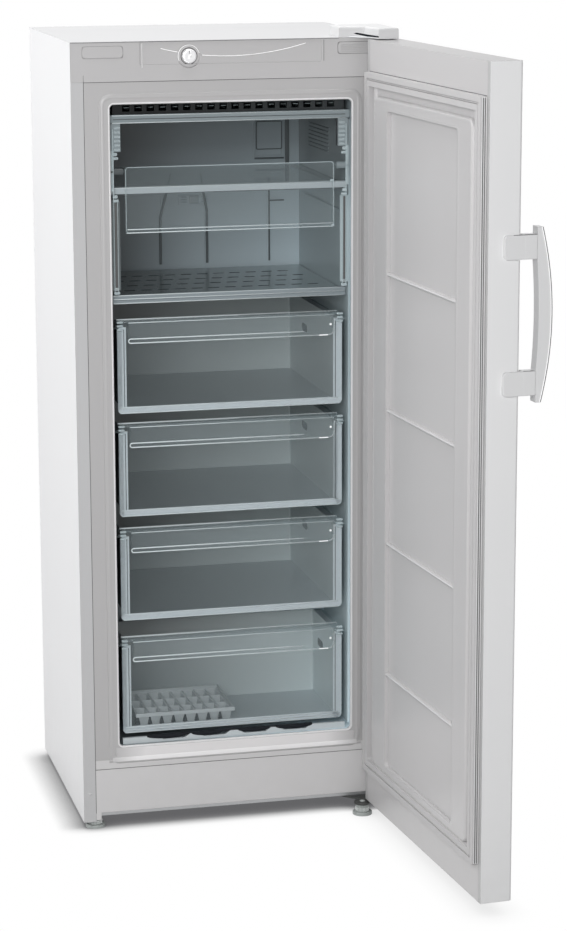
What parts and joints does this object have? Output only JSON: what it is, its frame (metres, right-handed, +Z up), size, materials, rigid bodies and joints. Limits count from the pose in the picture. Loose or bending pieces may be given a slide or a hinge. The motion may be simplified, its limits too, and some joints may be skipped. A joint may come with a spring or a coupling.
{
  "type": "upright freezer",
  "caption": "Free-standing upright freezer with a hinged door, clear-front drawers, glass and perforated shelves, a swing flap and an arched side-mounted handle.",
  "frame": {"origin": "on the floor, at the middle of the left front levelling foot's sole; the cabinet's front plane is 19 mm in front of it and the cabinet's middle 275 mm to its right", "axes": "+Z up, +Y towards the cabinet's back, +X to the right as seen from the front; the door is stored open at 94.3 degrees"},
  "size_m": [0.7119, 1.1518, 1.52],
  "materials": {
    "white_sheet": "satin",
    "face_plastic": "satin",
    "handle_plastic": "satin",
    "gasket_rubber": "matte",
    "foam": "matte",
    "tinted_plastic": "satin",
    "shelf_glass": "gloss",
    "clear_plastic": "gloss",
    "tub_plastic": "satin",
    "plated_steel": "satin",
    "foot_plastic": "matte",
    "knob_chrome": "gloss",
    "black_enamel": "satin",
    "mount_rubber": "matte",
    "coil_aluminium": "satin",
    "pipe_copper": "satin",
    "heater_steel": "satin"
  },
  "bodies": {
    "cabinet": {"left_side_panel": "white_sheet", "right_side_panel": "white_sheet", "top_panel": "white_sheet", "back_panel": "plated_steel", "inner_liner": "face_plastic", "foam_insulation": "foam", "bay_panel": "plated_steel", "kick_plate": "face_plastic", "base_frame": "plated_steel", "cabinet_fasteners": "plated_steel", "top_hinge": "plated_steel", "top_hinge_cover": "face_plastic", "bottom_hinge": "plated_steel", "control_fascia": "face_plastic", "fascia_caps": "face_plastic", "thermostat_body": "foot_plastic", "left_runner_frame": "tinted_plastic", "right_runner_frame": "tinted_plastic", "glass_shelf": "shelf_glass", "glass_shelf_trim": "tinted_plastic", "perforated_shelf": "tinted_plastic", "floor_strip": "tinted_plastic", "top_air_duct": "tinted_plastic", "evaporator_cover": "tinted_plastic", "evaporator": "coil_aluminium", "defrost_heater": "heater_steel", "fan_motor": "foot_plastic", "drain_pipe": "foot_plastic", "compressor": "black_enamel", "rubber_mounts": "mount_rubber", "terminal_box": "foot_plastic", "cord_gland": "foot_plastic", "drip_pan": "foot_plastic", "refrigerant_pipes": "pipe_copper", "condenser": "black_enamel"},
    "door": {"door_skin": "white_sheet", "door_foam": "foam", "door_liner": "face_plastic", "door_caps": "face_plastic", "door_bushes": "foot_plastic", "door_gasket": "gasket_rubber", "handle_grip": "handle_plastic", "handle_brackets": "handle_plastic", "handle_screws": "plated_steel"},
    "thermostat_knob": {"thermostat_knob": "knob_chrome"},
    "clear_flap": {"clear_flap": "clear_plastic"},
    "fan_blade": {"fan_blade": "foot_plastic"},
    "left_front_foot": {"left_front_foot": "foot_plastic"},
    "right_front_foot": {"right_front_foot": "foot_plastic"},
    "left_rear_roller": {"left_rear_roller": "foot_plastic"},
    "right_rear_roller": {"right_rear_roller": "foot_plastic"},
    "ice_tray": {"ice_tray": "tub_plastic"},
    "upper_drawer": {"upper_drawer_tub": "tub_plastic", "upper_drawer_front": "clear_plastic"},
    "middle_drawer": {"middle_drawer_tub": "tub_plastic", "middle_drawer_front": "clear_plastic"},
    "lower_drawer": {"lower_drawer_tub": "tub_plastic", "lower_drawer_front": "clear_plastic"},
    "bottom_drawer": {"bottom_drawer_tub": "tub_plastic", "bottom_drawer_front": "clear_plastic"}
  },
  "joints": [
    {"name": "door_hinge", "type": "hinge", "parent": "cabinet", "child": "door", "pos_m": [0.56, -0.064, 0.76], "axis": [0, 0, 1], "range_deg": [-94.3, 40.7]},
    {"name": "thermostat_turn", "type": "hinge", "parent": "cabinet", "child": "thermostat_knob", "pos_m": [0.1955, -0.019, 1.4715], "axis": [0, 1, 0], "range_deg": [0, 270]},
    {"name": "flap_swing", "type": "hinge", "parent": "cabinet", "child": "clear_flap", "pos_m": [0.275, -0.001, 1.262], "axis": [-1, 0, 0], "range_deg": [0, 95]},
    {"name": "upper_drawer_slide", "type": "slide", "parent": "cabinet", "child": "upper_drawer", "axis": [0, -1, 0], "range_m": [0, 0.3]},
    {"name": "middle_drawer_slide", "type": "slide", "parent": "cabinet", "child": "middle_drawer", "axis": [0, -1, 0], "range_m": [0, 0.3]},
    {"name": "lower_drawer_slide", "type": "slide", "parent": "cabinet", "child": "lower_drawer", "axis": [0, -1, 0], "range_m": [0, 0.3]},
    {"name": "bottom_drawer_slide", "type": "slide", "parent": "cabinet", "child": "bottom_drawer", "axis": [0, -1, 0], "range_m": [0, 0.15]},
    {"name": "ice_tray_lift", "type": "slide", "parent": "bottom_drawer", "child": "ice_tray", "axis": [0, 0, 1], "range_m": [0, 0.09]},
    {"name": "fan_spin", "type": "hinge", "parent": "cabinet", "child": "fan_blade", "pos_m": [0.275, 0.391, 1.292], "axis": [0, 1, 0], "continuous": true},
    {"name": "left_foot_turn", "type": "hinge", "parent": "cabinet", "child": "left_front_foot", "pos_m": [0, 0, 0.003], "axis": [0, 0, 1], "continuous": true},
    {"name": "right_foot_turn", "type": "hinge", "parent": "cabinet", "child": "right_front_foot", "pos_m": [0.518, -0.057, 0.003], "axis": [0, 0, 1], "continuous": true},
    {"name": "left_roller_spin", "type": "hinge", "parent": "cabinet", "child": "left_rear_roller", "pos_m": [0.025, 0.433, 0.014], "axis": [1, 0, 0], "continuous": true},
    {"name": "right_roller_spin", "type": "hinge", "parent": "cabinet", "child": "right_rear_roller", "pos_m": [0.525, 0.433, 0.014], "axis": [1, 0, 0], "continuous": true}
  ]
}
